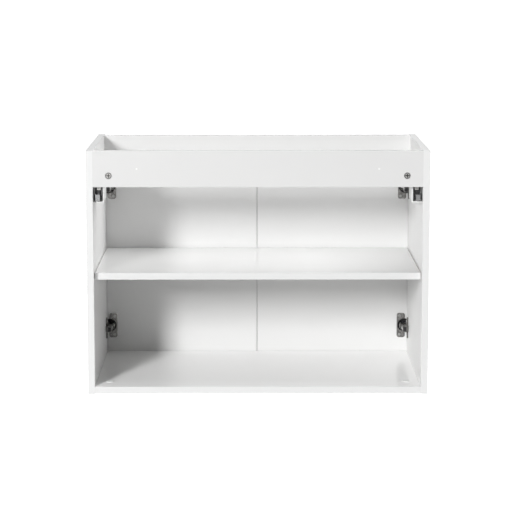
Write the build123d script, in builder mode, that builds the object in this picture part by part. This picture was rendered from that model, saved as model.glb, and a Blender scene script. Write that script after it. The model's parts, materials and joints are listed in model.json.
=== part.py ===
"""A wall-hung washbasin cabinet: white boards, two doors on concealed hinges, an open back and an open top.

Frame: millimetres, +Z up, the doors face -Y and the wall is the plane y = 0.
The origin is the centre of the rear rail's wall face. Left and right are as seen from the front.
"""

import os
from math import atan2, degrees

from build123d import *

os.makedirs("parts", exist_ok=True)

# Carcass
width = 800
height = 576
depth = 440
board = 16
rail_height = 85
front_rail_setback = 20
bottom_raise = 2
shelf_height = 270
shelf_end_gap = 1.5
shelf_rear_setback = 22
shelf_front_setback = 4
edge_round = 0.5

top_z = rail_height / 2
base_z = top_z - height
inner_x = width / 2 - board
front_y = -depth
front_rail_y = front_y + front_rail_setback

# Doors
door_height = 522
door_gap = 1.5
door_reveal = 1
door_stand_off = 1.5
door_edge_x = width / 2 - door_reveal
door_inner_y = front_y - door_stand_off

# Buffers between the doors and the carcass
bumper_radius = 4
bumper_height = 1.3
bumper_inset_x = 40
bumper_upper_z = -27

# Cam fittings, dowels and shelf pins
cam_radius = 6.7
cam_slot = (9, 2)
cam_slot_depth = 3
cam_mouth_back = 4.6
cam_hole_radius = 7.5
cam_height = 12
cam_hole_depth = 12.5
cam_arrow = (2.2, 5.2)
cam_inset = 37
cam_x = inner_x - cam_inset
rail_cam_z = top_z - 58.5
bottom_cam_inset = 31
bottom_cam_x = inner_x - bottom_cam_inset
bottom_cam_ys = (-60, front_y + 68)
bolt_radius = 3
bolt_head_radius = 3.4
bolt_bore_radius = 4
bolt_thread_depth = 10
bolt_head_length = 3
bolt_collar_radius = 3.8
cap_radius = 9
cap_height = 1.4
cap_edge_round = 0.8
dowel_radius = 4
dowel_in_side = 10
dowel_in_board = 20
dowel_gap = 1
rail_dowel_z = top_z - 20
bottom_dowel_ys = (-127, front_y + 132)
pin_radius = 2.5
pin_in_side = 9
pin_out = 8
pin_collar_radius = 4.5
shelf_pin_ys = (-80, front_y + 60)
plug_x = inner_x - 102.5
plug_radius = 2.4
plug_depth = 4

# Concealed hinges. u runs inward from the side panel's outer face, v forward from the carcass front edge,
# s inward from the door's outer edge and w into the door from its inner face.
hinge_zs = {"lower": base_z + 85, "upper": base_z + 442}
cup_centre_s = 22.5
cup_hole_radius = 17.5
cup_hole_depth = 12
cup_radius = 17.45
cup_inner_radius = 16.6
cup_depth = 11.6
cup_floor = 0.8
flange_height = 63
flange_width = 21
flange_start_s = 20.5
flange_thickness = 1.4
cup_screw_rise = 24
cup_screw_s = 34.5
screw_radius = 1.6
hinge_pin_radius = 1.5
link_pin_uv = (27.8, 2.4)
lever_pin_uv = (33.5, -1.0)
cup_pin_uv = (11.5, 4.5)
link_bends_uv = ((16.7, 8.4), (23.8, 6.0))
lever_bends_uv = ((17.8, 6.3), (25.4, 3.0))
link_plate = (3.4, 5.4)
arm_wall = (5.9, 7.3)
cup_cheek = (7.6, 9.2)
lever_half_thickness = 2.4
plate_centre_v = -37
plate_screw_rise = 16
plate_thickness = 3.4
plate_screw_radius = 2
plate_screw_depth = 12
arm_saddle_u = 20.5
arm_roof_u = 31
arm_back_v = -60
arm_screw_vs = (-50, -28)

# Wall hangers
hanger_metal_width = 21
hanger_width = 25
hanger_y = (-100, -18)
hanger_z = (-80.5, 34)
hanger_screw_u = 26.5
hanger_screw_zs = (-52, 8)
hanger_screw_radius = 2.4
hanger_pegs_yz = ((-75, 15), (-40, -15))
sheet = 1.5
cover_wall = 2.5
housing_y = (-92, -20)
housing_z = (-76, 30)
slider_y = (-84, -24)
slider_top = -44.5
slider_u = (20.5, 32.5)
hook_plate_z = (-63, -60.5)
hook_lip_y = (-8.5, -6)
hook_lip_bottom = -75.5
hook_u = (21.5, 32.5)
adjuster_u = (25, 33.5)
adjuster_y = (-24, -20)
adjuster_z = (-51.5, -43)

SIDES = {"left": -1, "right": 1}


def save(part, name):
    """Labels a finished piece and writes it."""
    part.label = name
    export_step(part, f"parts/{name}.step")


def span_box(x_span, y_span, z_span, mode=Mode.ADD):
    """A box between two limits on each axis."""
    centre = [(low + high) / 2 for low, high in (x_span, y_span, z_span)]
    size = [abs(high - low) for low, high in (x_span, y_span, z_span)]
    with Locations(tuple(centre)):
        return Box(*size, mode=mode)


def rod(start, axis, length, radius, mode=Mode.ADD):
    """A round bar from a start point along +X, -X, +Y, -Y, +Z or -Z."""
    with BuildSketch(Plane(origin=start, z_dir=axis)) as section:
        Circle(radius)
    return extrude(section.sketch, amount=length, mode=mode)


def bore(start, axis, length, radius):
    """A round hole from a start point along an axis."""
    rod(start, axis, length, radius, Mode.SUBTRACT)


def x_at(side, u):
    """The X of a point u inward from a side panel's outer face."""
    return side * (width / 2 - u)


def hinge_plane(side, z):
    """A horizontal plane whose local coordinates are u and v; +amount extrudes along side * Z."""
    return Plane(origin=(side * width / 2, front_y, z), x_dir=(-side, 0, 0), z_dir=(0, 0, side))


def bar_outline(points, bar_width):
    """A bent flat bar: one slot for each straight stretch."""
    for start, end in zip(points[:-1], points[1:]):
        stretch = Vector(*end) - Vector(*start)
        middle = Vector(*start) + stretch / 2
        with Locations(middle):
            SlotCenterToCenter(stretch.length, bar_width, rotation=degrees(atan2(stretch.Y, stretch.X)))


def discs(points, radius, mode=Mode.ADD):
    """Round eyes or pin holes."""
    with Locations(*points):
        Circle(radius, mode=mode)


# Side panels, drilled for dowels, cam bolts, shelf pins, hinge plates and hangers
def side_panel(side):
    """One upright board with its blind holes in the inner face."""
    outward = (side, 0, 0)
    rail_ys = (-board / 2, front_rail_y + board / 2)
    bottom_z = base_z + bottom_raise + board / 2
    bolt_holes = [(y, rail_cam_z) for y in rail_ys] + [(y, bottom_z) for y in bottom_cam_ys]
    dowel_holes = [(y, rail_dowel_z) for y in rail_ys] + [(y, bottom_z) for y in bottom_dowel_ys]
    pin_holes = [(y, base_z + shelf_height - pin_radius) for y in shelf_pin_ys]
    plate_y = front_y - plate_centre_v
    rises = (-plate_screw_rise, plate_screw_rise)
    plate_holes = [(plate_y, z + rise) for z in hinge_zs.values() for rise in rises]
    with BuildPart() as panel:
        span_box((x_at(side, 0), x_at(side, board)), (front_y, 0), (base_z, top_z))
        fillet(panel.edges().filter_by(Axis.Y).group_by(SortBy.LENGTH)[-1], edge_round)
        for y, z in bolt_holes:
            bore((side * inner_x, y, z), outward, bolt_thread_depth, bolt_radius)
        for y, z in dowel_holes:
            bore((side * inner_x, y, z), outward, dowel_in_side + dowel_gap, dowel_radius)
        for y, z in pin_holes:
            bore((side * inner_x, y, z), outward, pin_in_side, pin_radius)
        for y, z in plate_holes:
            bore((side * inner_x, y, z), outward, plate_screw_depth, plate_screw_radius)
        for y, z in hanger_pegs_yz:
            bore((side * inner_x, y, z), outward, dowel_in_side, dowel_radius)
    return panel.part


for side_name, side in SIDES.items():
    save(side_panel(side), f"side_panel_{side_name}")

# Bottom panel between the sides; its rear cams are let in from above and its front cams from below
bottom_span = (base_z + bottom_raise, base_z + bottom_raise + board)
bottom_mid_z = sum(bottom_span) / 2
with BuildPart() as bottom_panel:
    span_box((-inner_x, inner_x), (front_y, 0), bottom_span)
    for side in SIDES.values():
        inward = (-side, 0, 0)
        for y, face_z, way_z in zip(bottom_cam_ys, reversed(bottom_span), (-1, 1)):
            bore((side * bottom_cam_x, y, face_z), (0, 0, way_z), cam_hole_depth, cam_hole_radius)
            bore((side * inner_x, y, bottom_mid_z), inward, bottom_cam_inset, bolt_bore_radius)
        for y in bottom_dowel_ys:
            bore((side * inner_x, y, bottom_mid_z), inward, dowel_in_board + dowel_gap, dowel_radius)
save(bottom_panel.part, "bottom_panel")

# Loose shelf on pins
shelf_x = inner_x - shelf_end_gap
with BuildPart() as shelf:
    span_box(
        (-shelf_x, shelf_x),
        (front_y + shelf_front_setback, -shelf_rear_setback),
        (base_z + shelf_height, base_z + shelf_height + board),
    )
    fillet(shelf.edges().filter_by(Axis.X), edge_round)
save(shelf.part, "shelf")


def rail(y_span, cam_face_y, cam_axis):
    """A top rail with a cam housing, a bolt bore and a dowel hole at each end."""
    mid_y = sum(y_span) / 2
    with BuildPart() as piece:
        span_box((-inner_x, inner_x), y_span, (-rail_height / 2, rail_height / 2))
        fillet(piece.edges().filter_by(Axis.X), edge_round)
        for side in SIDES.values():
            inward = (-side, 0, 0)
            bore((side * cam_x, cam_face_y, rail_cam_z), cam_axis, cam_hole_depth, cam_hole_radius)
            bore((side * inner_x, mid_y, rail_cam_z), inward, cam_inset, bolt_bore_radius)
            end = (side * inner_x, mid_y, rail_dowel_z)
            bore(end, inward, dowel_in_board + dowel_gap, dowel_radius)
    return piece


rear_rail = rail((-board, 0), 0, (0, -1, 0))
with rear_rail:
    for side in SIDES.values():
        bore((side * plug_x, 0, 0), (0, -1, 0), plug_depth, plug_radius)
save(rear_rail.part, "rear_rail")

front_rail = rail((front_rail_y, front_rail_y + board), front_rail_y + board, (0, -1, 0))
save(front_rail.part, "front_rail")


# Cam locks, drawn on their bolts
def cam_lock(face, axis, bolt_way):
    """A round cam with a driver cross and a pointer in its face, and a mouth for the bolt head."""
    face = Vector(*face)
    axis = Vector(*axis)
    centre = face + axis * (board / 2)
    top = face + axis * (cam_hole_depth - cam_height)
    across = axis.cross(Vector(*bolt_way))
    rod(top, axis, cam_height, cam_radius)
    mouth_start = centre - Vector(*bolt_way) * cam_mouth_back
    bore(mouth_start, bolt_way, cam_inset, bolt_bore_radius)
    for long_way in (Vector(*bolt_way), across):
        with BuildSketch(Plane(origin=top, x_dir=long_way, z_dir=axis)) as slot:
            Rectangle(*cam_slot)
        extrude(slot.sketch, amount=cam_slot_depth, mode=Mode.SUBTRACT)
    with BuildSketch(Plane(origin=top, x_dir=bolt_way, z_dir=axis)) as pointer:
        with Locations((cam_arrow[1], 0)):
            RegularPolygon(cam_arrow[0] / 2, 3)
    extrude(pointer.sketch, amount=cam_slot_depth / 4, mode=Mode.SUBTRACT)


front_cam_y = front_rail_y + board
rail_cam_faces = []
rear_bottom_faces = []
front_bottom_faces = []
for side in SIDES.values():
    way = (side, 0, 0)
    rail_cam_faces.append(((side * cam_x, 0, rail_cam_z), (0, -1, 0), way))
    rail_cam_faces.append(((side * cam_x, front_cam_y, rail_cam_z), (0, -1, 0), way))
    rear_bottom_faces.append(((side * bottom_cam_x, bottom_cam_ys[0], bottom_span[1]), (0, 0, -1), way))
    front_bottom_faces.append(((side * bottom_cam_x, bottom_cam_ys[1], bottom_span[0]), (0, 0, 1), way))

with BuildPart() as rail_cams:
    for cam in rail_cam_faces:
        cam_lock(*cam)
save(rail_cams.part, "rail_cams")

with BuildPart() as bottom_cams:
    for cam in rear_bottom_faces + front_bottom_faces:
        cam_lock(*cam)
save(bottom_cams.part, "bottom_cams")

all_cam_faces = rail_cam_faces + rear_bottom_faces + front_bottom_faces
with BuildPart() as cam_bolts:
    for face, axis, way in all_cam_faces:
        along = Vector(*way)
        head = Vector(*face) + Vector(*axis) * (board / 2) - along * 2
        inset = inner_x - abs(face[0])
        thread = head + along * (inset + 2)
        rod(head, way, bolt_head_length, bolt_head_radius)
        rod(head, way, inset + 2 + bolt_thread_depth, bolt_radius - 1)
        rod(thread, way, bolt_thread_depth, bolt_radius)
        rod(thread - along * 2, way, 2, bolt_collar_radius)
save(cam_bolts.part, "cam_bolts")

with BuildPart() as cam_caps:
    for face, _, _ in rear_bottom_faces:
        rod(face, (0, 0, 1), cap_height, cap_radius)
    cap_rims = cam_caps.faces().filter_by(Axis.Z).group_by(Axis.Z)[-1].edges()
    fillet(cap_rims, cap_edge_round)
save(cam_caps.part, "cam_caps")

with BuildPart() as wood_dowels:
    dowel_places = [(y, rail_dowel_z) for y in (-board / 2, front_rail_y + board / 2)]
    dowel_places += [(y, bottom_mid_z) for y in bottom_dowel_ys]
    for side in SIDES.values():
        for y, z in dowel_places:
            start = (side * (inner_x - dowel_in_board), y, z)
            rod(start, (side, 0, 0), dowel_in_board + dowel_in_side, dowel_radius)
save(wood_dowels.part, "wood_dowels")

with BuildPart() as rail_plugs:
    for side in SIDES.values():
        rod((side * plug_x, 0, 0), (0, -1, 0), plug_depth, plug_radius)
save(rail_plugs.part, "rail_plugs")

with BuildPart() as shelf_pins:
    for side in SIDES.values():
        for y in shelf_pin_ys:
            z = base_z + shelf_height - pin_radius
            inward = (-side, 0, 0)
            rod((side * (inner_x + pin_in_side), y, z), inward, pin_in_side + pin_out, pin_radius)
            rod((side * inner_x, y, z), inward, shelf_end_gap - 0.2, pin_collar_radius)
save(shelf_pins.part, "shelf_pins")


# Doors, bored for the hinge cups
def cup_plane(side, z):
    """A plane on the door's inner face, centred on a cup; local X is s and +amount goes into the door."""
    centre_x = side * (door_edge_x - cup_centre_s)
    return Plane(origin=(centre_x, door_inner_y, z), x_dir=(-side, 0, 0), z_dir=(0, -1, 0))


cup_screw_points = [(cup_screw_s - cup_centre_s, rise) for rise in (-cup_screw_rise, cup_screw_rise)]

for side_name, side in SIDES.items():
    with BuildPart() as door:
        span_box(
            (side * door_gap / 2, side * door_edge_x),
            (door_inner_y - board, door_inner_y),
            (base_z, base_z + door_height),
        )
        fillet(door.faces().sort_by(Axis.Y)[0].edges(), 1.2)
        for z in hinge_zs.values():
            with BuildSketch(cup_plane(side, z)):
                Circle(cup_hole_radius)
            extrude(amount=cup_hole_depth, mode=Mode.SUBTRACT)
            with BuildSketch(cup_plane(side, z)):
                discs(cup_screw_points, screw_radius)
            extrude(amount=10, mode=Mode.SUBTRACT)
    save(door.part, f"door_{side_name}")

    with BuildPart() as door_bumpers:
        lower_bumper = (side * bumper_inset_x, bottom_mid_z)
        upper_bumper = (side * (width / 2 - board / 2), bumper_upper_z)
        for x, z in (lower_bumper, upper_bumper):
            rod((x, door_inner_y, z), (0, 1, 0), bumper_height, bumper_radius)
    save(door_bumpers.part, f"door_bumpers_{side_name}")

    with BuildPart() as cup_screws:
        for z in hinge_zs.values():
            plane = cup_plane(side, z)
            with BuildSketch(plane.offset(-flange_thickness)):
                discs(cup_screw_points, screw_radius)
            extrude(amount=10)
            with BuildSketch(plane.offset(-flange_thickness)):
                discs(cup_screw_points, 3.6)
            extrude(amount=-1, taper=25)
            with BuildSketch(plane.offset(-flange_thickness - 1)):
                with Locations(*cup_screw_points):
                    Rectangle(4, 0.8)
                    Rectangle(0.8, 4)
            extrude(amount=0.7, mode=Mode.SUBTRACT)
    save(cup_screws.part, f"cup_screws_{side_name}")

    with BuildPart() as cup_pins:
        for z in hinge_zs.values():
            with BuildSketch(hinge_plane(side, z)):
                discs([cup_pin_uv], hinge_pin_radius)
            extrude(amount=cup_cheek[1], both=True)
    save(cup_pins.part, f"cup_pins_{side_name}")


# Hinges
def hinge_cup(side, z):
    """The pot in the door, its screw flange and the two cheeks that carry the cup pin."""
    plane = cup_plane(side, z)
    with BuildPart() as cup:
        with BuildSketch(plane):
            Circle(cup_radius)
        extrude(amount=cup_depth)
        with BuildSketch(plane):
            with Locations((flange_start_s + flange_width / 2 - cup_centre_s, 0)):
                RectangleRounded(flange_width, flange_height, 6)
        extrude(amount=-flange_thickness)
        with BuildSketch(plane.offset(-flange_thickness)):
            Circle(cup_inner_radius)
        extrude(amount=flange_thickness + cup_depth - cup_floor, mode=Mode.SUBTRACT)
        for way in (-1, 1):
            cheek_mid = way * sum(cup_cheek) / 2
            with BuildSketch(plane.offset(1)):
                with Locations((-11.2, cheek_mid)):
                    Rectangle(6.2, cup_cheek[1] - cup_cheek[0])
            extrude(amount=cup_depth - cup_floor - 1)
        with BuildSketch(plane):
            with Locations((-15, 0)):
                Rectangle(6, 12.4)
        extrude(amount=5, mode=Mode.SUBTRACT)
        with BuildSketch(plane.offset(-flange_thickness)):
            discs(cup_screw_points, screw_radius)
        extrude(amount=flange_thickness, mode=Mode.SUBTRACT)
        with BuildSketch(hinge_plane(side, z)):
            discs([cup_pin_uv], hinge_pin_radius)
        extrude(amount=cup_cheek[1], both=True, mode=Mode.SUBTRACT)
    return cup.part


def hinge_link(side, z):
    """Two bent link plates, one each side of the lever, on the arm's front pin and the cup pin."""
    with BuildPart() as link:
        for way in (-1, 1):
            low = z + min(way * edge for edge in link_plate)
            with BuildSketch(hinge_plane(side, low)):
                bar_outline([cup_pin_uv, *link_bends_uv, link_pin_uv], 3.4)
                discs([cup_pin_uv, link_pin_uv], 2.8)
                discs([cup_pin_uv, link_pin_uv], hinge_pin_radius + 0.05, Mode.SUBTRACT)
            extrude(amount=side * (link_plate[1] - link_plate[0]))
    return link.part


def hinge_lever(side, z):
    """The spring lever on the arm's rear pin; its far eye is loose on the cup pin."""
    with BuildPart() as lever:
        with BuildSketch(hinge_plane(side, z)):
            bar_outline([cup_pin_uv, *lever_bends_uv, lever_pin_uv], 3.2)
            discs([cup_pin_uv], 3.2)
            discs([lever_pin_uv], 3)
            discs([cup_pin_uv], hinge_pin_radius + 0.55, Mode.SUBTRACT)
            discs([lever_pin_uv], hinge_pin_radius + 0.05, Mode.SUBTRACT)
        extrude(amount=lever_half_thickness, both=True)
    return lever.part


def hinge_arm(side, z):
    """The folded steel arm: two walls, a roof, a seat on the mounting plate and the two pin holes."""
    with BuildPart() as arm:
        for way in (-1, 1):
            low = z + min(way * edge for edge in arm_wall)
            with BuildSketch(hinge_plane(side, low)):
                with BuildLine():
                    Polyline(
                        (arm_saddle_u, arm_back_v),
                        (arm_saddle_u, -17),
                        (25.0, 0.5),
                        link_pin_uv,
                        lever_pin_uv,
                        (36, -4),
                        (32, -15),
                        (arm_roof_u, arm_back_v),
                        close=True,
                    )
                make_face()
                discs([link_pin_uv], 3.2)
                discs([lever_pin_uv], 3.1)
                discs([link_pin_uv, lever_pin_uv], hinge_pin_radius, Mode.SUBTRACT)
            extrude(amount=side * (arm_wall[1] - arm_wall[0]))
        with BuildSketch(hinge_plane(side, z)):
            with Locations((arm_roof_u - 0.6, (arm_back_v - 14) / 2)):
                Rectangle(1.2, -14 - arm_back_v)
            with Locations((arm_saddle_u + 0.6, (arm_back_v - 20) / 2)):
                Rectangle(1.2, -20 - arm_back_v)
        extrude(amount=arm_wall[0], both=True)
        for v in arm_screw_vs:
            bore((x_at(side, board), front_y - v, z), (-side, 0, 0), 20, plate_screw_radius)
    return arm.part


def mounting_plate(side, z):
    """The cross-shaped plate on the side panel: a saddle along the arm and two screw wings."""
    centre = (x_at(side, board), front_y - plate_centre_v, z)
    face = Plane(origin=centre, x_dir=(0, -1, 0), z_dir=(-side, 0, 0))
    with BuildPart() as plate:
        with BuildSketch(face):
            RectangleRounded(42, 14, 3)
            RectangleRounded(12, 54, 5.5)
        extrude(amount=plate_thickness)
        with BuildSketch(face.offset(plate_thickness)):
            RectangleRounded(40, 11, 2)
        extrude(amount=arm_saddle_u - board - plate_thickness)
        with BuildSketch(face):
            discs([(0, -plate_screw_rise), (0, plate_screw_rise)], plate_screw_radius)
        extrude(amount=plate_thickness, mode=Mode.SUBTRACT)
        for v in arm_screw_vs:
            bore((x_at(side, board), front_y - v, z), (-side, 0, 0), 6, plate_screw_radius)
    return plate.part


for side_name, side in SIDES.items():
    for level, z in hinge_zs.items():
        save(hinge_cup(side, z), f"hinge_cup_{side_name}_{level}")
        save(hinge_link(side, z), f"hinge_link_{side_name}_{level}")
        save(hinge_lever(side, z), f"hinge_lever_{side_name}_{level}")
        save(hinge_arm(side, z), f"hinge_arm_{side_name}_{level}")
        save(mounting_plate(side, z), f"hinge_plate_{side_name}_{level}")

hinge_sites = [(side, z) for side in SIDES.values() for z in hinge_zs.values()]


def cross_head(origin, axis, radius, height_out):
    """A low screw head with a cross recess, standing out from a surface."""
    plane = Plane(origin=origin, z_dir=axis)
    with BuildSketch(plane) as head:
        Circle(radius)
    extrude(head.sketch, amount=height_out, taper=18)
    with BuildSketch(plane.offset(height_out)) as cross:
        Rectangle(radius * 1.1, 0.9)
        Rectangle(0.9, radius * 1.1)
    extrude(cross.sketch, amount=-height_out * 0.6, mode=Mode.SUBTRACT)


with BuildPart() as plate_screws:
    for side, z in hinge_sites:
        for rise in (-plate_screw_rise, plate_screw_rise):
            seat = (x_at(side, board + plate_thickness), front_y - plate_centre_v, z + rise)
            rod(seat, (side, 0, 0), plate_thickness + plate_screw_depth - 0.4, plate_screw_radius)
            cross_head(seat, (-side, 0, 0), 4, 1.6)
save(plate_screws.part, "hinge_plate_screws")

with BuildPart() as arm_screws:
    for side, z in hinge_sites:
        for v in arm_screw_vs:
            rod((x_at(side, board + 0.5), front_y - v, z), (-side, 0, 0), 14.5, plate_screw_radius)
            cross_head((x_at(side, arm_roof_u), front_y - v, z), (-side, 0, 0), 3.4, 1.4)
save(arm_screws.part, "hinge_arm_screws")

with BuildPart() as arm_pins:
    for side, z in hinge_sites:
        with BuildSketch(hinge_plane(side, z)):
            discs([lever_pin_uv], hinge_pin_radius)
        extrude(amount=arm_wall[1], both=True)
        for way in (-1, 1):
            low = z + min(way * link_plate[0], way * arm_wall[1])
            with BuildSketch(hinge_plane(side, low)):
                discs([link_pin_uv], hinge_pin_radius)
            extrude(amount=side * (arm_wall[1] - link_plate[0]))
save(arm_pins.part, "hinge_arm_pins")


# Wall hangers behind the rear rail, one on each side panel
def u_span(side, low, high):
    """X limits of a piece between two distances from the side panel's outer face."""
    return (x_at(side, low), x_at(side, high))


for side_name, side in SIDES.items():
    screw_x = x_at(side, hanger_screw_u)
    cover_inner_u = board + hanger_width - cover_wall
    with BuildPart() as cover:
        span_box(u_span(side, board, board + hanger_width), hanger_y, hanger_z)
        fillet(cover.edges().group_by(Axis.X)[0 if side > 0 else -1], 2)
        span_box(
            u_span(side, board, cover_inner_u),
            (hanger_y[0] + cover_wall, hanger_y[1]),
            (hanger_z[0] + cover_wall, hanger_z[1] - cover_wall),
            Mode.SUBTRACT,
        )
        for z in hanger_screw_zs:
            bore((screw_x, hanger_y[0], z), (0, 1, 0), cover_wall, hanger_screw_radius)
    save(cover.part, f"hanger_cover_{side_name}")

    metal_u = board + hanger_metal_width
    with BuildPart() as housing:
        span_box(u_span(side, board, board + sheet), housing_y, housing_z)
        span_box(u_span(side, metal_u - sheet, metal_u), housing_y, housing_z)
        span_box(u_span(side, board, metal_u), (housing_y[0], housing_y[0] + sheet), housing_z)
        span_box(u_span(side, board, metal_u), housing_y, (housing_z[1] - sheet, housing_z[1]))
        for z in hanger_screw_zs:
            bore((screw_x, housing_y[0], z), (0, 1, 0), sheet, hanger_screw_radius)
        for y, z in hanger_pegs_yz:
            bore((x_at(side, board), y, z), (-side, 0, 0), sheet, dowel_radius)
    save(housing.part, f"hanger_housing_{side_name}")

    with BuildPart() as slider:
        span_box(u_span(side, *slider_u), slider_y, (hook_plate_z[1], slider_top))
        fillet(slider.edges().filter_by(Axis.Y), 1.5)
        bore((screw_x, slider_y[1], hanger_screw_zs[0]), (0, -1, 0), 6, 3)
    save(slider.part, f"hanger_slider_{side_name}")

    with BuildPart() as hook:
        hook_x = x_at(side, sum(hook_u) / 2)
        with BuildSketch(Plane(origin=(hook_x, 0, 0), x_dir=(0, 1, 0), z_dir=(1, 0, 0))):
            with BuildLine():
                FilletPolyline(
                    (slider_y[0], hook_plate_z[0]),
                    (slider_y[0], hook_plate_z[1]),
                    (hook_lip_y[1], hook_plate_z[1]),
                    (hook_lip_y[1], hook_lip_bottom),
                    (hook_lip_y[0], hook_lip_bottom),
                    (hook_lip_y[0], hook_plate_z[0]),
                    radius=0.8,
                    close=True,
                )
            make_face()
        extrude(amount=(hook_u[1] - hook_u[0]) / 2, both=True)
    save(hook.part, f"hanger_hook_{side_name}")

    with BuildPart() as adjuster:
        span_box(u_span(side, *adjuster_u), adjuster_y, adjuster_z)
        fillet(adjuster.edges().filter_by(Axis.Y), 1)
        adjuster_mid_z = sum(adjuster_z) / 2
        bore((x_at(side, sum(adjuster_u) / 2), adjuster_y[1], adjuster_mid_z), (0, -1, 0), 3, 1.8)
    save(adjuster.part, f"hanger_adjuster_{side_name}")

with BuildPart() as hanger_screws:
    for side in SIDES.values():
        for z in hanger_screw_zs:
            seat = (x_at(side, hanger_screw_u), hanger_y[0], z)
            rod(seat, (0, 1, 0), 13, hanger_screw_radius)
            cross_head(seat, (0, -1, 0), 4, 1.6)
save(hanger_screws.part, "hanger_screws")

with BuildPart() as hanger_pegs:
    for side in SIDES.values():
        for y, z in hanger_pegs_yz:
            rod((x_at(side, board + sheet), y, z), (side, 0, 0), sheet + dowel_in_side, dowel_radius)
save(hanger_pegs.part, "hanger_pegs")
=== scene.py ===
"""Looks, light and camera for a white wall-hung washbasin cabinet, seen from its open back."""
import json
import math

import bmesh
import bpy
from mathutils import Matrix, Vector


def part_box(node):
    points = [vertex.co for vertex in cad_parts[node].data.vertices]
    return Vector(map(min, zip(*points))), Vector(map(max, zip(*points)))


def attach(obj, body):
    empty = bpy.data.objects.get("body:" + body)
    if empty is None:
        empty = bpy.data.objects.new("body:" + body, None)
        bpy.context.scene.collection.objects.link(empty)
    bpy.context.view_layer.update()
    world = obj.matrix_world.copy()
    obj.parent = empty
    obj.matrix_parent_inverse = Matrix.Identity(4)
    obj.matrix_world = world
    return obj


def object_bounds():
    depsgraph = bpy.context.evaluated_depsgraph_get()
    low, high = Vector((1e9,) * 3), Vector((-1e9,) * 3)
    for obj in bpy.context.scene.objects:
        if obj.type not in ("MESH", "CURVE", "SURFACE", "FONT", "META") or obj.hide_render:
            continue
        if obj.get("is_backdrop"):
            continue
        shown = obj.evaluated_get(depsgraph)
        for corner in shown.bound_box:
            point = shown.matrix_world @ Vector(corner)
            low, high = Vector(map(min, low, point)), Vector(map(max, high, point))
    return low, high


MM = 0.001

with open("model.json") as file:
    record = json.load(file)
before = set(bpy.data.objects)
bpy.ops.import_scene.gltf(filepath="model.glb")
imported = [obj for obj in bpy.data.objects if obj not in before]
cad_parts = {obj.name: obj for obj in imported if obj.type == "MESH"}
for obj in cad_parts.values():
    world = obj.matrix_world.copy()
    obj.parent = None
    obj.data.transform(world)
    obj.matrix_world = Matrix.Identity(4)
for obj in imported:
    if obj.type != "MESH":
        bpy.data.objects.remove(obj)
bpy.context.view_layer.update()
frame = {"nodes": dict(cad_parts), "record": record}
record = frame["record"]
slot_of = {row["node"]: row["material_slot"] for row in record["subparts"]}


# ---------------------------------------------------------------- shader helpers
class Shader:
    """A node material with short calls for the nodes that the finishes share."""

    def __init__(self, name):
        self.material = bpy.data.materials.new(name)
        self.material.use_nodes = True
        self.nodes = self.material.node_tree.nodes
        self.links = self.material.node_tree.links
        self.bsdf = self.nodes["Principled BSDF"]
        self.place = self.nodes.new("ShaderNodeTexCoord").outputs["Object"]

    def link(self, value, socket):
        """Feeds a socket from an output, or sets its own value."""
        if isinstance(value, bpy.types.NodeSocket):
            self.links.new(value, socket)
        else:
            socket.default_value = value

    def set(self, name, value):
        self.link(value, self.bsdf.inputs[name])

    def math(self, operation, first, second=0.0, clamp=False):
        node = self.nodes.new("ShaderNodeMath")
        node.operation = operation
        node.use_clamp = clamp
        self.link(first, node.inputs[0])
        self.link(second, node.inputs[1])
        return node.outputs[0]

    def noise(self, scale, detail=2.0, roughness=0.5, stretch=(1, 1, 1), distortion=0.0):
        """Noise of scale cells per metre; stretch above 1 packs the pattern tighter on that axis."""
        mapping = self.nodes.new("ShaderNodeMapping")
        mapping.inputs["Scale"].default_value = stretch
        self.links.new(self.place, mapping.inputs["Vector"])
        node = self.nodes.new("ShaderNodeTexNoise")
        node.inputs["Scale"].default_value = scale
        node.inputs["Detail"].default_value = detail
        node.inputs["Roughness"].default_value = roughness
        node.inputs["Distortion"].default_value = distortion
        self.links.new(mapping.outputs[0], node.inputs["Vector"])
        return node.outputs["Fac"]

    def cells(self, scale, stretch=(1, 1, 1)):
        """Distance to the nearest cell centre, for a pearl or hammered grain."""
        mapping = self.nodes.new("ShaderNodeMapping")
        mapping.inputs["Scale"].default_value = stretch
        self.links.new(self.place, mapping.inputs["Vector"])
        node = self.nodes.new("ShaderNodeTexVoronoi")
        node.inputs["Scale"].default_value = scale
        self.links.new(mapping.outputs[0], node.inputs["Vector"])
        return node.outputs["Distance"]

    def ramp(self, value, low, high, out_low=0.0, out_high=1.0):
        node = self.nodes.new("ShaderNodeMapRange")
        node.inputs["From Min"].default_value = low
        node.inputs["From Max"].default_value = high
        node.inputs["To Min"].default_value = out_low
        node.inputs["To Max"].default_value = out_high
        self.links.new(value, node.inputs["Value"])
        return node.outputs[0]

    def mix(self, factor, first, second):
        """Blends two colours."""
        node = self.nodes.new("ShaderNodeMix")
        node.data_type = "RGBA"
        self.link(factor, node.inputs["Factor"])
        self.link((*first, 1.0) if isinstance(first, tuple) else first, node.inputs["A"])
        self.link((*second, 1.0) if isinstance(second, tuple) else second, node.inputs["B"])
        return node.outputs["Result"]

    def bump(self, height, depth, strength=1.0, under=None):
        """A bump whose height runs over depth metres; under is the normal below it."""
        node = self.nodes.new("ShaderNodeBump")
        node.inputs["Strength"].default_value = strength
        node.inputs["Distance"].default_value = depth
        self.links.new(height, node.inputs["Height"])
        if under is not None:
            self.links.new(under, node.inputs["Normal"])
        return node.outputs[0]

    def soft_edges(self, radius):
        """Normals that turn smoothly round each hard edge, as a tumbled or moulded part's do."""
        node = self.nodes.new("ShaderNodeBevel")
        node.samples = 4
        node.inputs["Radius"].default_value = radius
        return node.outputs[0]

    def facing_way(self):
        """The parts of the surface's own direction."""
        return self.split(self.nodes.new("ShaderNodeTexCoord").outputs["Normal"])

    def split(self, vector):
        node = self.nodes.new("ShaderNodeSeparateXYZ")
        self.links.new(vector, node.inputs[0])
        return node.outputs


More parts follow.
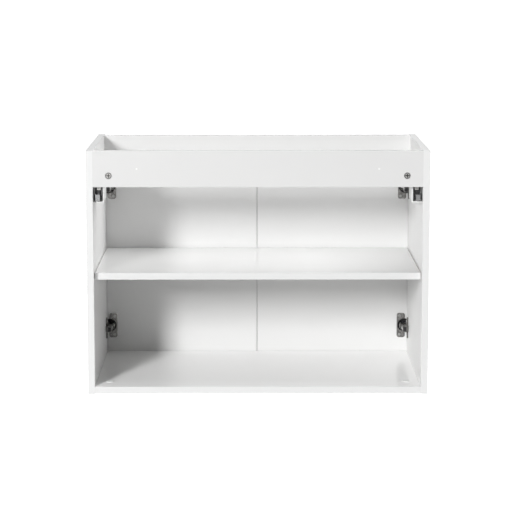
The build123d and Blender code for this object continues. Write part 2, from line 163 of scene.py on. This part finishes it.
# ---------------------------------------------------------------- finishes
FACING_LOW = (0.796, 0.796, 0.792)
FACING_HIGH = (0.817, 0.816, 0.811)
SPECK_TONE = (0.78, 0.785, 0.785)
EDGE_TONE = (0.745, 0.748, 0.745)
GLUE_TONE = (0.56, 0.555, 0.54)
CHIP_DARK = (0.17, 0.15, 0.125)
CHIP_PALE = (0.36, 0.31, 0.25)
BAND = 0.8 * MM
SEAM = 0.14 * MM
BAND_FADE = 0.05 * MM
BOARD_GRAIN = 0.030 * MM
BOARD_WAVE = 0.02 * MM
SEAM_STEP = 0.10 * MM

# What sets one board's finish apart from the others, by a part of its name; the scale on a board's white is
# painted light and shade, lighter or darker per board
BOARD_LOOKS = {
    "_rail": {"painted_light_scale": 0.87},
    "side_panel": {"painted_light_scale": 1.15, "roughness": 0.40},
    "bottom_panel": {"painted_light_scale": 1.19, "roughness": 0.17, "ripple": 0.05, "sheen": 0.5},
    "shelf": {"painted_light_scale": 0.90, "roughness": 0.18, "ripple": 0.08, "raw_ends": True},
    "door_": {"gloss_side": -1},
}


def thin_axis_of(box):
    """The axis across a board's thickness."""
    low, high = box
    sizes = [high[axis] - low[axis] for axis in range(3)]
    return sizes.index(min(sizes))


def edge_band(shader, box):
    """Masks for a board's edge band: (on the band, in the glue line between band and facing)."""
    low, high = box
    position = shader.split(shader.place)
    thin_axis = thin_axis_of(box)
    distances = []
    for axis in range(3):
        if axis == thin_axis:
            continue
        from_low = shader.math("SUBTRACT", position[axis], low[axis])
        from_high = shader.math("SUBTRACT", high[axis], position[axis])
        distances.append(shader.math("MINIMUM", from_low, from_high))
    border = shader.math("MINIMUM", *distances)
    on_band = shader.ramp(border, BAND, BAND - BAND_FADE)
    off_line = shader.math("ABSOLUTE", shader.math("SUBTRACT", border, BAND))
    in_seam = shader.ramp(off_line, SEAM, SEAM * 0.3)
    return on_band, in_seam


def board_colour(shader, painted_light_scale, on_band, in_seam, raw_ends):
    """Slightly clouded white with fine specks, a greyer edge band, its glue line, and raw cut ends; the
    white is lightened or darkened per board as painted light and shade.
    """
    # painted light and shade: the one white melamine scaled lighter or darker per board by how lit it is
    greyer, whiter = (tuple(painted_light_scale * part for part in tone) for tone in (FACING_LOW, FACING_HIGH))
    facing = shader.mix(shader.noise(3.1, 3), greyer, whiter)
    speck = shader.ramp(shader.noise(2600, 1), 0.62, 0.78)
    facing = shader.mix(shader.math("MULTIPLY", speck, 0.10), facing, SPECK_TONE)
    banded = shader.mix(shader.math("MULTIPLY", on_band, 0.9), facing, EDGE_TONE)
    colour = shader.mix(shader.math("MULTIPLY", in_seam, 0.40), banded, GLUE_TONE)
    if raw_ends:
        on_end = shader.ramp(shader.math("ABSOLUTE", shader.facing_way()[0]), 0.4, 0.6)
        chips = shader.mix(shader.noise(600, 3, 0.6, (1, 1, 2.5)), CHIP_DARK, CHIP_PALE)
        colour = shader.mix(on_end, colour, chips)
    return colour


def board_material(
    name, box, painted_light_scale=1.0, roughness=0.30, ripple=0.2, sheen=0.0, raw_ends=False, gloss_side=None
):
    """White facing: a fine pearl grain, faint wipe marks and an edge band.

    gloss_side is the sign of the Y face that is lacquered, and ripple scales the facing's relief. The scale
    on the white is painted light and shade.
    """
    shader = Shader(name)
    on_band, in_seam = edge_band(shader, box)
    shader.set("Base Color", board_colour(shader, painted_light_scale, on_band, in_seam, raw_ends))

    wipes = shader.ramp(shader.noise(5, 3, 0.5, (1, 2, 1), 0.4), 0.3, 0.75, 0.0, 0.02)
    rough = shader.math("ADD", roughness, wipes)
    grain = shader.cells(720)
    if gloss_side is not None:
        lacquered = shader.ramp(shader.math("MULTIPLY", shader.facing_way()[1], gloss_side), 0.4, 0.6)
        rough = shader.math("SUBTRACT", rough, shader.math("MULTIPLY", lacquered, 0.16))
        flat_share = shader.math("SUBTRACT", 1.0, shader.math("MULTIPLY", lacquered, 0.9))
        grain = shader.math("MULTIPLY", grain, flat_share)
    rough = shader.math("SUBTRACT", rough, shader.math("MULTIPLY", on_band, 0.04))
    shader.set("Roughness", rough)
    shader.set("IOR", 1.52)
    shader.set("Sheen Weight", sheen)
    shader.set("Sheen Roughness", 0.4)

    normal = shader.soft_edges(0.5 * MM)
    normal = shader.bump(grain, BOARD_GRAIN, 1.25 * ripple, normal)
    normal = shader.bump(shader.noise(46, 2), BOARD_WAVE, ripple, normal)
    seam_step = shader.math("SUBTRACT", 1.0, in_seam)
    normal = shader.bump(seam_step, SEAM_STEP, 0.7, normal)
    shader.set("Normal", normal)
    return shader.material


# Colour of the painted shade in the cams' sunk rims and driver recesses
CAM_PAINTED_SHADE = (0.05, 0.049, 0.047)
CAM_RIM_INNER = 0.80
CAM_RIM_OUTER = 0.92


def cam_shadow(shader, box):
    """Mask for painted shade in the sunk rim and the driver recess of the cams in the rails."""
    low, high = box
    position = shader.split(shader.place)
    radius = (high[2] - low[2]) / 2
    off_x = shader.math("SUBTRACT", shader.math("ABSOLUTE", position[0]), high[0] - radius)
    off_z = shader.math("SUBTRACT", position[2], (low[2] + high[2]) / 2)
    squares = [shader.math("MULTIPLY", off, off) for off in (off_x, off_z)]
    off_axis = shader.math("SQRT", shader.math("ADD", *squares))
    rim = shader.ramp(off_axis, CAM_RIM_INNER * radius, CAM_RIM_OUTER * radius)
    depth = shader.math("SUBTRACT", high[1], position[1])
    below_face = shader.ramp(depth, 0.3 * MM, 1.0 * MM)
    above_body = shader.ramp(depth, 7 * MM, 6 * MM)
    recess = shader.math("MULTIPLY", below_face, above_body)
    return shader.math("MAXIMUM", rim, recess)


def plated_material(name, base, dull, rough, brushed=(1, 1, 1), cast=False, cam_box=None):
    """Plated metal: uneven lustre, fine draw lines or a cast skin, dull patches and tiny pits."""
    shader = Shader(name)
    patches = shader.ramp(shader.noise(130, 4, 0.65), 0.35, 0.72)
    pits = shader.ramp(shader.noise(2300, 2), 0.66, 0.74)
    colour = shader.mix(patches, base, dull)
    pitted = tuple(part * 0.35 for part in dull)
    colour = shader.mix(shader.math("MULTIPLY", pits, 0.55), colour, pitted)
    # painted shade: the rail cams darkened in their sunk rims and driver recesses
    if cam_box is not None:
        colour = shader.mix(cam_shadow(shader, cam_box), colour, CAM_PAINTED_SHADE)
    shader.set("Base Color", colour)
    shader.set("Metallic", 1.0)
    smear = shader.ramp(patches, 0.0, 1.0, rough, rough + 0.17)
    shader.set("Roughness", shader.math("ADD", smear, shader.math("MULTIPLY", pits, 0.2)))
    lines = shader.noise(900, 2, 0.5, brushed)
    normal = shader.soft_edges(0.35 * MM)
    normal = shader.bump(lines, (0.05 if cast else 0.02) * MM, 0.5, normal)
    if cast:
        normal = shader.bump(shader.cells(800), 0.03 * MM, 0.4, normal)
    shader.set("Normal", normal)
    return shader.material


def plastic_material(name, base, tint, rough):
    """Moulded plastic: a spark-eroded grain, soft flow marks and a little handling polish."""
    shader = Shader(name)
    flow = shader.noise(60, 3, 0.5, (1, 1, 2.5), 0.8)
    shader.set("Base Color", shader.mix(flow, base, tint))
    polish = shader.ramp(shader.noise(24, 3), 0.4, 0.7, 0.0, 0.08)
    shader.set("Roughness", shader.math("SUBTRACT", rough, polish))
    shader.set("IOR", 1.49)
    normal = shader.soft_edges(0.6 * MM)
    normal = shader.bump(shader.noise(3400, 2), 0.03 * MM, 0.4, normal)
    shader.set("Normal", normal)
    return shader.material


def rubber_material(name, base, tint):
    """Soft, slightly milky rubber for the doors' buffers and seal."""
    shader = Shader(name)
    haze = shader.noise(400, 2)
    shader.set("Base Color", shader.mix(haze, base, tint))
    shader.set("Roughness", shader.ramp(haze, 0.3, 0.7, 0.32, 0.48))
    shader.set("Subsurface Weight", 0.25)
    shader.set("Subsurface Scale", 0.004)
    shader.set("Normal", shader.bump(haze, 0.05 * MM, 0.4, shader.soft_edges(0.5 * MM)))
    return shader.material


def beech_material(name):
    """Fluted beech: long pale grain with short darker flecks."""
    shader = Shader(name)
    grain = shader.noise(220, 4, 0.6, (0.12, 1, 1), 0.4)
    flecks = shader.ramp(shader.noise(900, 1, 0.5, (0.2, 1, 1)), 0.62, 0.70)
    wood = shader.mix(grain, (0.62, 0.43, 0.26), (0.76, 0.58, 0.39))
    flecked = shader.mix(shader.math("MULTIPLY", flecks, 0.5), wood, (0.42, 0.26, 0.14))
    shader.set("Base Color", flecked)
    shader.set("Roughness", shader.ramp(grain, 0.3, 0.7, 0.5, 0.65))
    shader.set("Normal", shader.bump(grain, 0.2 * MM, 0.5))
    return shader.material


PLASTICS = {
    "white_plastic": {"base": (0.86, 0.865, 0.86), "tint": (0.83, 0.835, 0.825), "rough": 0.42},
    "black_plastic": {"base": (0.020, 0.020, 0.022), "tint": (0.032, 0.032, 0.034), "rough": 0.46},
}
RUBBERS = {
    "clear_bumper": {"base": (0.70, 0.71, 0.70), "tint": (0.80, 0.80, 0.78)},
    # the seal's grey is partly painted shade for the narrow gap between the doors
    "grey_seal": {"base": (0.56, 0.56, 0.55), "tint": (0.66, 0.66, 0.65)},
}
ALONG_Y = (1, 0.1, 1)
ALONG_Z = (1, 1, 0.1)
METALS = {
    "hinge_nickel": {
        "base": (0.34, 0.334, 0.324), "dull": (0.16, 0.157, 0.152), "rough": 0.20, "brushed": ALONG_Y,
    },
    "hinge_plate_nickel": {
        "base": (0.27, 0.265, 0.255), "dull": (0.14, 0.137, 0.132), "rough": 0.28, "cast": True,
    },
    "hinge_link_nickel": {"base": (0.55, 0.543, 0.53), "dull": (0.30, 0.295, 0.285), "rough": 0.20},
    "hanger_steel": {
        "base": (0.30, 0.303, 0.306), "dull": (0.17, 0.172, 0.175), "rough": 0.30, "brushed": ALONG_Z,
    },
    "hanger_hook_steel": {
        "base": (0.42, 0.423, 0.427), "dull": (0.26, 0.263, 0.267), "rough": 0.26, "brushed": ALONG_Y,
    },
    "zinc_screw": {"base": (0.60, 0.60, 0.59), "dull": (0.40, 0.40, 0.39), "rough": 0.25},
    "pin_steel": {"base": (0.50, 0.50, 0.49), "dull": (0.34, 0.34, 0.33), "rough": 0.20},
    "cam_zinc": {"base": (0.62, 0.614, 0.60), "dull": (0.36, 0.355, 0.345), "rough": 0.30, "cast": True},
}
FINISHES = {"beech": beech_material("beech")}
FINISHES.update((name, plastic_material(name, **look)) for name, look in PLASTICS.items())
FINISHES.update((name, rubber_material(name, **look)) for name, look in RUBBERS.items())
FINISHES.update((name, plated_material(name, **look)) for name, look in METALS.items())


def dress(node, material):
    """Gives a CAD object one material, in its material slots only."""
    obj = frame["nodes"][node]
    for index in range(len(obj.material_slots)):
        obj.material_slots[index].link = "OBJECT"
        obj.material_slots[index].material = material


for node, slot in slot_of.items():
    if node == "rail_cams":
        material = plated_material("rail_cam_zinc", cam_box=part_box(node), **METALS["cam_zinc"])
    elif slot in FINISHES:
        material = FINISHES[slot]
    else:
        look = next((look for part, look in BOARD_LOOKS.items() if part in node), {})
        material = board_material(f"board_{node}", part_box(node), **look)
    dress(node, material)


# ---------------------------------------------------------------- hinge details
SIDES = {"left": -1, "right": 1}
LEVELS = ("lower", "upper")
CUP_TO_FLANGE_TIP = 19 * MM
FLANGE_RISE = 1.4 * MM
RING_STEPS = 48


def piece(name, mesh, material, body, smooth_angle=40):
    """Adds a finished mesh as a piece that rides on a body."""
    mesh.materials.append(material)
    mesh.shade_smooth()
    mesh.set_sharp_from_angle(angle=math.radians(smooth_angle))
    obj = bpy.data.objects.new(name, mesh)
    bpy.context.scene.collection.objects.link(obj)
    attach(obj, body)
    return obj


def turned(name, profile, centre, axis_out):
    """A closed form turned about Y: profile holds (radius, height), with height along axis_out * Y."""
    form = bmesh.new()
    rings = []
    for radius, height in profile:
        y = centre.y + axis_out * height
        if radius == 0:
            rings.append([form.verts.new((centre.x, y, centre.z))])
            continue
        ring = []
        for step in range(RING_STEPS):
            turn = math.tau * step / RING_STEPS
            x = centre.x + radius * math.cos(turn)
            z = centre.z + radius * math.sin(turn)
            ring.append(form.verts.new((x, y, z)))
        rings.append(ring)
    for inner, outer in zip(rings[:-1], rings[1:]):
        for step in range(RING_STEPS):
            after = (step + 1) % RING_STEPS
            if len(inner) == 1:
                form.faces.new((inner[0], outer[step], outer[after]))
            elif len(outer) == 1:
                form.faces.new((inner[step], inner[after], outer[0]))
            else:
                form.faces.new((inner[step], inner[after], outer[after], outer[step]))
    bmesh.ops.recalc_face_normals(form, faces=form.faces)
    mesh = bpy.data.meshes.new(name)
    form.to_mesh(mesh)
    form.free()
    return mesh


# Radius and depth below the door's face, in millimetres
SHADE_LINER_PROFILE = [
    (0, 9.3), (4.6, 9.3), (5.2, 9.6), (5.4, 10.1), (11.2, 10.1), (11.6, 9.7), (12.6, 9.7), (13.0, 10.1),
    (15.0, 10.1), (15.5, 9.7), (15.7, 7.4), (16.0, 7.1), (16.3, 7.1), (16.5, 7.4), (16.5, 10.72), (0, 10.72),
]


def cup_shade_liner(side_name, level):
    """The black damper seat on the floor of a hinge cup, partly a real part and partly painted shade that
    darkens the cup's hollow.
    """
    low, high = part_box(f"hinge_cup_{side_name}_{level}")
    side = SIDES[side_name]
    tip_x = min(abs(low[0]), abs(high[0]))
    centre = Vector((side * (tip_x + CUP_TO_FLANGE_TIP), high[1] - FLANGE_RISE, (low[2] + high[2]) / 2))
    name = f"cup_shade_liner_{side_name}_{level}"
    profile = [(radius * MM, depth * MM) for radius, depth in SHADE_LINER_PROFILE]
    mesh = turned(name, profile, centre, -1)
    # painted shade: a black piece over the cup floor so the hollow reads dark
    piece(name, mesh, FINISHES["black_plastic"], f"{side_name}_door")


def tube(name, points, radius, resolution=3):
    """A smooth round wire along points, as a mesh."""
    curve = bpy.data.curves.new(name, "CURVE")
    curve.dimensions = "3D"
    curve.bevel_depth = radius
    curve.bevel_resolution = resolution
    curve.use_fill_caps = True
    spline = curve.splines.new("POLY")
    spline.points.add(len(points) - 1)
    for point, place in zip(spline.points, points):
        point.co = (*place, 1.0)
    holder = bpy.data.objects.new(name, curve)
    mesh = bpy.data.meshes.new_from_object(holder)
    bpy.data.objects.remove(holder)
    mesh.name = name
    return mesh


SPRING_WIRE = 0.42 * MM
SPRING_RADIUS = 2.35 * MM
SPRING_TURNS = 3.25
SPRING_STEPS_PER_TURN = 20
SPRING_INNER = 2.95 * MM
SPRING_OUTER = 5.4 * MM
SPRING_LEG = 11 * MM
SPRING_LEG_SPREAD = (0.6 * MM, 1.4 * MM)
LEVER_PIN_INSET = 33.5 * MM
LEVER_PIN_BEHIND_FRONT = 1.0 * MM


def closing_spring(side_name, level):
    """Two small coils on the lever's pin, one each side of the lever, with their legs against the roof."""
    low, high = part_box(f"hinge_arm_{side_name}_{level}")
    panel_low, panel_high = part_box(f"side_panel_{side_name}")
    side = SIDES[side_name]
    outer = max(abs(panel_low[0]), abs(panel_high[0]))
    pin_x = side * (outer - LEVER_PIN_INSET)
    pin_y = panel_low[1] + LEVER_PIN_BEHIND_FRONT
    middle_z = (low[2] + high[2]) / 2
    steps = int(SPRING_TURNS * SPRING_STEPS_PER_TURN)
    for way, word in ((-1, "a"), (1, "b")):
        points = []
        for step in range(steps + 1):
            turn = math.tau * SPRING_TURNS * step / steps
            along = SPRING_INNER + (SPRING_OUTER - SPRING_INNER) * step / steps
            x = pin_x - side * SPRING_RADIUS * math.sin(turn)
            y = pin_y - SPRING_RADIUS * math.cos(turn)
            points.append((x, y, middle_z + way * along))
        x, y, z = points[-1]
        bend, tip = SPRING_LEG_SPREAD
        points.append((x + side * bend, y + SPRING_LEG * 0.5, z))
        points.append((x + side * tip, y + SPRING_LEG, z))
        name = f"closing_spring_{side_name}_{level}_{word}"
        piece(name, tube(name, points, SPRING_WIRE), FINISHES["pin_steel"], "case", 70)


CLIP_REACH = 6.5 * MM
CLIP_SHORT_OF_ARM = 0.2 * MM
CLIP_HALF_WIDTH = 5.8 * MM
CLIP_CORNER = 1.1 * MM
CLIP_FROM_OUTER = 1.3 * MM
CLIP_FROM_INNER = 6.4 * MM
CLIP_RIM = 1.0 * MM
CLIP_HOLLOW = 1.4 * MM


def arm_clip(side_name, level):
    """The black release clip that closes the rear end of a hinge arm, hollowed at its rear."""
    low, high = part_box(f"hinge_arm_{side_name}_{level}")
    inner = min(abs(low[0]), abs(high[0]))
    outer = max(abs(low[0]), abs(high[0]))
    side = SIDES[side_name]
    x_span = sorted((side * (outer - CLIP_FROM_OUTER), side * (inner + CLIP_FROM_INNER)))
    y_span = (high[1] - CLIP_REACH, high[1] - CLIP_SHORT_OF_ARM)
    middle_z = (low[2] + high[2]) / 2
    form = bmesh.new()
    bmesh.ops.create_cube(form, size=1.0)
    size = (x_span[1] - x_span[0], y_span[1] - y_span[0], 2 * CLIP_HALF_WIDTH)
    bmesh.ops.scale(form, vec=size, verts=form.verts)
    bmesh.ops.bevel(form, geom=form.edges[:], offset=CLIP_CORNER, segments=3, affect="EDGES", profile=0.5)
    rear = max(form.faces, key=lambda face: face.calc_center_median().y)
    bmesh.ops.inset_region(form, faces=[rear], thickness=CLIP_RIM)
    bmesh.ops.translate(form, vec=(0, -CLIP_HOLLOW, 0), verts=rear.verts)
    bmesh.ops.translate(form, vec=(sum(x_span) / 2, sum(y_span) / 2, middle_z), verts=form.verts)
    name = f"arm_clip_{side_name}_{level}"
    mesh = bpy.data.meshes.new(name)
    form.to_mesh(mesh)
    form.free()
    piece(name, mesh, FINISHES["black_plastic"], "case")


CRISP_ANGLE = math.radians(40)


def moulding(name, outline, z_span, round_edge, material, body):
    """A long strip of one section: outline holds its (x, y) corners, and its edges are softened."""
    form = bmesh.new()
    section = [form.verts.new((x, y, z_span[0])) for x, y in outline]
    face = form.faces.new(section)
    drawn = bmesh.ops.extrude_face_region(form, geom=[face])["geom"]
    raised = [part for part in drawn if isinstance(part, bmesh.types.BMVert)]
    bmesh.ops.translate(form, vec=(0, 0, z_span[1] - z_span[0]), verts=raised)
    bmesh.ops.recalc_face_normals(form, faces=form.faces)
    crisp = [edge for edge in form.edges if edge.calc_face_angle() > CRISP_ANGLE]
    bmesh.ops.bevel(form, geom=crisp, offset=round_edge, segments=2, affect="EDGES", profile=0.5)
    mesh = bpy.data.meshes.new(name)
    form.to_mesh(mesh)
    form.free()
    piece(name, mesh, material, body)


SEAL_HALF_WIDTH = 0.9 * MM
SEAL_FOOT = 0.1 * MM
SEAL_SHORT_OF_ENDS = 3 * MM
SEAL_SHARE_OF_GAP = 0.88
SEAL_STEPS = 12


def gap_shade_seal():
    """A soft bulb seal on the right door's free edge that closes the gap between the doors; its grey is
    partly painted shade for the narrow gap.
    """
    low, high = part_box("door_right")
    left_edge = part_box("door_left")[1][0]
    reach = (low[0] - left_edge) * SEAL_SHARE_OF_GAP
    y = (low[1] + high[1]) / 2
    outline = [(low[0] + SEAL_FOOT, y + SEAL_HALF_WIDTH)]
    for step in range(SEAL_STEPS + 1):
        turn = math.pi * step / SEAL_STEPS
        outline.append((low[0] - reach * math.sin(turn), y + SEAL_HALF_WIDTH * math.cos(turn)))
    outline.append((low[0] + SEAL_FOOT, y - SEAL_HALF_WIDTH))
    z_span = (low[2] + SEAL_SHORT_OF_ENDS, high[2] - SEAL_SHORT_OF_ENDS)
    moulding("gap_shade_seal", outline, z_span, 0.04 * MM, FINISHES["grey_seal"], "right_door")


LIP_SHEET = 0.9 * MM
LIP_FROM_HOOK = 1.2 * MM
LIP_FOOT = 2.2 * MM
LIP_BEHIND = 3 * MM
LIP_PROUD = 5 * MM
LIP_BELOW_HOOK = 0.5 * MM
LIP_SHORT_OF_TOP = 4 * MM


def hanger_lip(side_name):
    """The bright folded lip of the hanger housing beside its hook, an L in plan."""
    low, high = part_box(f"hanger_housing_{side_name}")
    hook_low, hook_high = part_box(f"hanger_hook_{side_name}")
    side = SIDES[side_name]
    start = max(abs(hook_low[0]), abs(hook_high[0])) + LIP_FROM_HOOK
    back = high[1] - LIP_BEHIND
    front = high[1] + LIP_PROUD
    outline = [
        (side * start, back),
        (side * (start + LIP_FOOT), back),
        (side * (start + LIP_FOOT), back + LIP_SHEET),
        (side * (start + LIP_SHEET), back + LIP_SHEET),
        (side * (start + LIP_SHEET), front),
        (side * start, front),
    ]
    z_span = (hook_high[2] - LIP_BELOW_HOOK, high[2] - LIP_SHORT_OF_TOP)
    name = f"hanger_lip_{side_name}"
    moulding(name, outline, z_span, 0.2 * MM, FINISHES["zinc_screw"], "case")


gap_shade_seal()
for side_name in SIDES:
    hanger_lip(side_name)
    for level in LEVELS:
        cup_shade_liner(side_name, level)
        closing_spring(side_name, level)
        arm_clip(side_name, level)


# ---------------------------------------------------------------- stage, light and camera
FLOOR_GLOW_REAR = 0.06
FLOOR_GLOW_FRONT = 0.98
FLOOR_GLOW_FAR = 0.40
FLOOR_DROP = 0.42
FLOOR_HALF = 300.0

low, high = (Vector(corner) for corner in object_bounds())
middle = (low + high) / 2


def floor_material():
    """A pale studio floor, greyer behind. It glows beyond the doors, and a little far behind."""
    shader = Shader("studio_floor")
    mottle = shader.noise(1.3, 3)
    pale = shader.mix(mottle, (0.88, 0.88, 0.88), (0.92, 0.92, 0.92))
    greyer = shader.mix(mottle, (0.60, 0.60, 0.60), (0.63, 0.63, 0.63))
    along = shader.split(shader.place)["Y"]
    shader.set("Base Color", shader.mix(shader.ramp(along, -0.3, 0.6), pale, greyer))
    shader.set("Roughness", shader.ramp(mottle, 0.3, 0.7, 0.78, 0.88))
    shader.set("Emission Color", (1.0, 1.0, 1.0, 1.0))
    before = shader.ramp(along, 0.4, -0.5, FLOOR_GLOW_REAR, FLOOR_GLOW_FRONT)
    behind = shader.ramp(along, 3.5, 8.5, 0.0, FLOOR_GLOW_FAR)
    shader.set("Emission Strength", shader.math("MAXIMUM", before, behind))
    return shader.material


floor_mesh = bpy.data.meshes.new("floor")
floor_z = low.z - FLOOR_DROP
corners = [(x * FLOOR_HALF, y * FLOOR_HALF, floor_z) for x, y in ((-1, -1), (1, -1), (1, 1), (-1, 1))]
floor_mesh.from_pydata(corners, [], [(0, 1, 2, 3)])
floor_mesh.materials.append(floor_material())
floor = bpy.data.objects.new("floor", floor_mesh)
bpy.context.scene.collection.objects.link(floor)
floor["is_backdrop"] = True


def area_light(name, place, aim, size, power):
    """A soft box at place, turned to aim."""
    data = bpy.data.lights.new(name, "AREA")
    data.shape = "RECTANGLE"
    data.size, data.size_y = size
    data.energy = power
    light = bpy.data.objects.new(name, data)
    light.location = place
    light.rotation_euler = (Vector(aim) - Vector(place)).to_track_quat("-Z", "Y").to_euler()
    bpy.context.scene.collection.objects.link(light)


area_light("key", place=(3.15, 7.5, 2.32), aim=(0.0, -0.2, -0.22), size=(1.15, 1.9), power=592)
area_light("overhead", place=(-1.0, -0.45, 2.1), aim=(0.0, -0.25, 0.0), size=(1.8, 1.8), power=55)
area_light("front_fill", place=(0.8, -3.6, 1.4), aim=middle, size=(2.4, 2.0), power=8)

WORLD_DIM = 0.07
WORLD_HORIZON = 0.10
WORLD_ZENITH = 0.25
BACKDROP = 0.82


def studio_world():
    """Soft light, stronger from overhead than from the sides, behind a pale backdrop."""
    world = bpy.data.worlds.new("studio")
    world.use_nodes = True
    nodes = world.node_tree.nodes
    links = world.node_tree.links

    def combine(operation, first, second):
        node = nodes.new("ShaderNodeMath")
        node.operation = operation
        for value, socket in zip((first, second), node.inputs):
            if isinstance(value, bpy.types.NodeSocket):
                links.new(value, socket)
            else:
                socket.default_value = value
        return node.outputs[0]

    def fade(value, span, out_span):
        node = nodes.new("ShaderNodeMapRange")
        node.interpolation_type = "SMOOTHSTEP"
        node.inputs["From Min"].default_value, node.inputs["From Max"].default_value = span
        node.inputs["To Min"].default_value, node.inputs["To Max"].default_value = out_span
        links.new(value, node.inputs["Value"])
        return node.outputs[0]

    parts = nodes.new("ShaderNodeSeparateXYZ")
    links.new(nodes.new("ShaderNodeTexCoord").outputs["Generated"], parts.inputs[0])
    height = parts.outputs["Z"]
    sides = fade(combine("ABSOLUTE", height, 0.0), (0.05, 0.30), (WORLD_HORIZON, WORLD_DIM))
    crown = fade(height, (0.45, 0.95), (0.0, WORLD_ZENITH))
    light = combine("ADD", sides, crown)
    camera_ray = nodes.new("ShaderNodeLightPath").outputs["Is Camera Ray"]
    seen = combine("MAXIMUM", light, combine("MULTIPLY", camera_ray, BACKDROP))
    links.new(seen, nodes["Background"].inputs["Strength"])
    nodes["Background"].inputs["Color"].default_value = (1.0, 1.0, 1.0, 1.0)
    return world


scene = bpy.context.scene
scene.world = studio_world()
scene.view_settings.view_transform = "Standard"
scene.view_settings.look = "None"
scene.view_settings.exposure = 0.0

CAMERA_DISTANCE = 4.784
CAMERA_RISE = 0.506
CAMERA_SIDE = 0.0236
AIM_X = 0.001
AIM_Z = -0.2077
LENS = 144.85
camera_data = bpy.data.cameras.new("camera")
camera_data.lens = LENS
camera_data.sensor_width = 36.0
camera_data.clip_end = 1000.0
camera = bpy.data.objects.new("camera", camera_data)
camera.location = (CAMERA_SIDE, CAMERA_DISTANCE, CAMERA_RISE)
aim = Vector((AIM_X, 0.0, AIM_Z))
camera.rotation_euler = (aim - camera.location).to_track_quat("-Z", "Y").to_euler()
scene.collection.objects.link(camera)
scene.camera = camera
